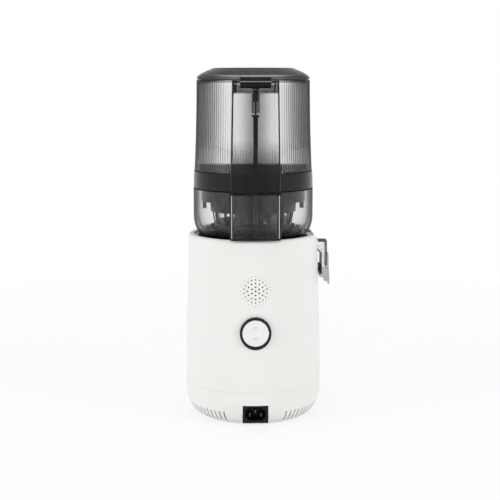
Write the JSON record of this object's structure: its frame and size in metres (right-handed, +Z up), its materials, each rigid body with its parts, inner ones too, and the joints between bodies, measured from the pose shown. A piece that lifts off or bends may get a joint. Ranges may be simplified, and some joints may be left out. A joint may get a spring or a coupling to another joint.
{
  "type": "cold press juicer",
  "caption": "Upright slow juicer: white motor base, clear juicing chamber with spout and pulp chute, smoked hopper, hinged lid and a back column with the lid interlock.",
  "frame": {"origin": "on the drive axis, at the surface the juicer stands on", "axes": "+Z up along the drive axis, -Y towards the back with the switch and mains inlet, +X towards the juice spout"},
  "size_m": [0.1801, 0.1892, 0.432],
  "materials": {
    "white_body": "satin white moulded housing",
    "white_inner": "moulded white",
    "smoke_clear": "smoked clear plastic",
    "grey_clear": "light grey clear plastic",
    "lid_clear": "smoked clear plastic",
    "dark_ring": "dark grey moulded plastic",
    "black_plastic": "black moulded plastic",
    "grey_plastic": "grey moulded plastic",
    "black_rubber": "soft black rubber",
    "grey_rubber": "soft grey silicone",
    "steel": "machined steel",
    "copper": "enamelled copper wire",
    "laminations": "electrical steel laminations",
    "board": "printed circuit board"
  },
  "bodies": {
    "base": {"base_housing": "white_body", "lower_shell": "white_body", "base_deck": "white_inner", "rubber_feet": "grey_rubber", "base_screws": "steel", "inlet_socket": "black_plastic", "inlet_pins": "steel", "switch_bezel": "dark_ring", "switch_body": "grey_plastic", "control_board": "board", "board_parts": "black_plastic", "interlock_switch": "black_plastic", "motor_can": "laminations", "stator_core": "laminations", "field_windings": "copper", "motor_end_plate": "grey_plastic", "motor_bearings": "steel", "gearbox_case": "grey_plastic", "gearbox_plate": "steel", "gearbox_cover": "grey_plastic", "gearbox_bearings": "steel", "gearbox_screws": "steel", "shaft_seal": "black_rubber"},
    "rotor": {"rotor_core": "laminations", "commutator": "copper", "motor_shaft": "steel", "motor_pinion": "steel", "cooling_fan": "black_plastic"},
    "layshaft_set": {"layshaft": "steel", "layshaft_gear": "grey_plastic", "layshaft_pinion": "steel"},
    "output": {"output_gear": "grey_plastic", "output_shaft": "steel"},
    "rocker": {"rocker_button": "white_body"},
    "interlock_plunger": {"interlock_button": "black_plastic"},
    "chamber": {"chamber_bowl": "grey_clear", "chamber_ring": "black_plastic", "chamber_column": "smoke_clear", "strainer_frame": "dark_ring", "strainer_screen": "grey_clear", "strainer_seat": "black_plastic", "centre_packing": "grey_rubber", "pulp_packing": "grey_rubber", "spout_bumper": "black_rubber"},
    "chamber_rod": {"lower_rod": "grey_clear"},
    "auger_set": {"auger": "dark_ring", "auger_socket": "steel", "feed_wing": "dark_ring"},
    "drip_stop": {"spout_lever": "grey_clear", "lever_seal": "black_rubber"},
    "hopper": {"hopper_body": "smoke_clear", "hopper_ring": "dark_ring", "hopper_column": "smoke_clear", "rod_guide": "smoke_clear", "hinge_pin": "steel", "rod_spring": "steel"},
    "hopper_rod": {"push_rod": "grey_clear"},
    "lid_set": {"lid": "lid_clear", "hinge_bar": "black_plastic"}
  },
  "joints": [
    {"name": "chamber_lift", "type": "slide", "parent": "base", "child": "chamber", "axis": [0, 0, 1], "range_m": [0, 0.06]},
    {"name": "hopper_lift", "type": "slide", "parent": "chamber", "child": "hopper", "axis": [0, 0, 1], "range_m": [0, 0.06]},
    {"name": "lid_hinge", "type": "hinge", "parent": "hopper", "child": "lid_set", "pos_m": [0, -0.078, 0.4123], "axis": [1, 0, 0], "range_deg": [0, 92]},
    {"name": "push_rod_slide", "type": "slide", "parent": "hopper", "child": "hopper_rod", "axis": [0, 0, 1], "range_m": [0, 0.00132], "deforming": ["rod_spring"]},
    {"name": "lower_rod_slide", "type": "slide", "parent": "chamber", "child": "chamber_rod", "axis": [0, 0, 1], "range_m": [0, 0.00132]},
    {"name": "interlock_button_slide", "type": "slide", "parent": "base", "child": "interlock_plunger", "axis": [0, 0, 1], "range_m": [0, 0.00132]},
    {"name": "rocker_tilt", "type": "hinge", "parent": "base", "child": "rocker", "pos_m": [0, -0.0812, 0.117], "axis": [1, 0, 0], "range_deg": [-7, 7], "stiffness_Nm_per_rad": 0.05},
    {"name": "drip_stop_hinge", "type": "hinge", "parent": "chamber", "child": "drip_stop", "pos_m": [0.0834, 0, 0.2096], "axis": [0, -1, 0], "range_deg": [0, 75]},
    {"name": "rotor_spin", "type": "hinge", "parent": "base", "child": "rotor", "pos_m": [0, 0.0054, 0.082], "axis": [0, 0, 1], "continuous": true},
    {"name": "layshaft_spin", "type": "hinge", "parent": "base", "child": "layshaft_set", "pos_m": [0, 0.039, 0.145], "axis": [0, 0, 1], "continuous": true},
    {"name": "output_spin", "type": "hinge", "parent": "base", "child": "output", "pos_m": [0, 0, 0.16], "axis": [0, 0, 1], "continuous": true},
    {"name": "auger_spin", "type": "hinge", "parent": "chamber", "child": "auger_set", "pos_m": [0, 0, 0.255], "axis": [0, 0, 1], "continuous": true}
  ],
  "couplings": [
    {"joint": "push_rod_slide", "follows": "lid_hinge", "m_per_rad": 0.000818},
    {"joint": "lower_rod_slide", "follows": "lid_hinge", "m_per_rad": 0.000818},
    {"joint": "interlock_button_slide", "follows": "lid_hinge", "m_per_rad": 0.000818},
    {"joint": "layshaft_spin", "follows": "rotor_spin", "ratio": -0.16667},
    {"joint": "output_spin", "follows": "rotor_spin", "ratio": 0.030303},
    {"joint": "auger_spin", "follows": "rotor_spin", "ratio": 0.030303}
  ]
}
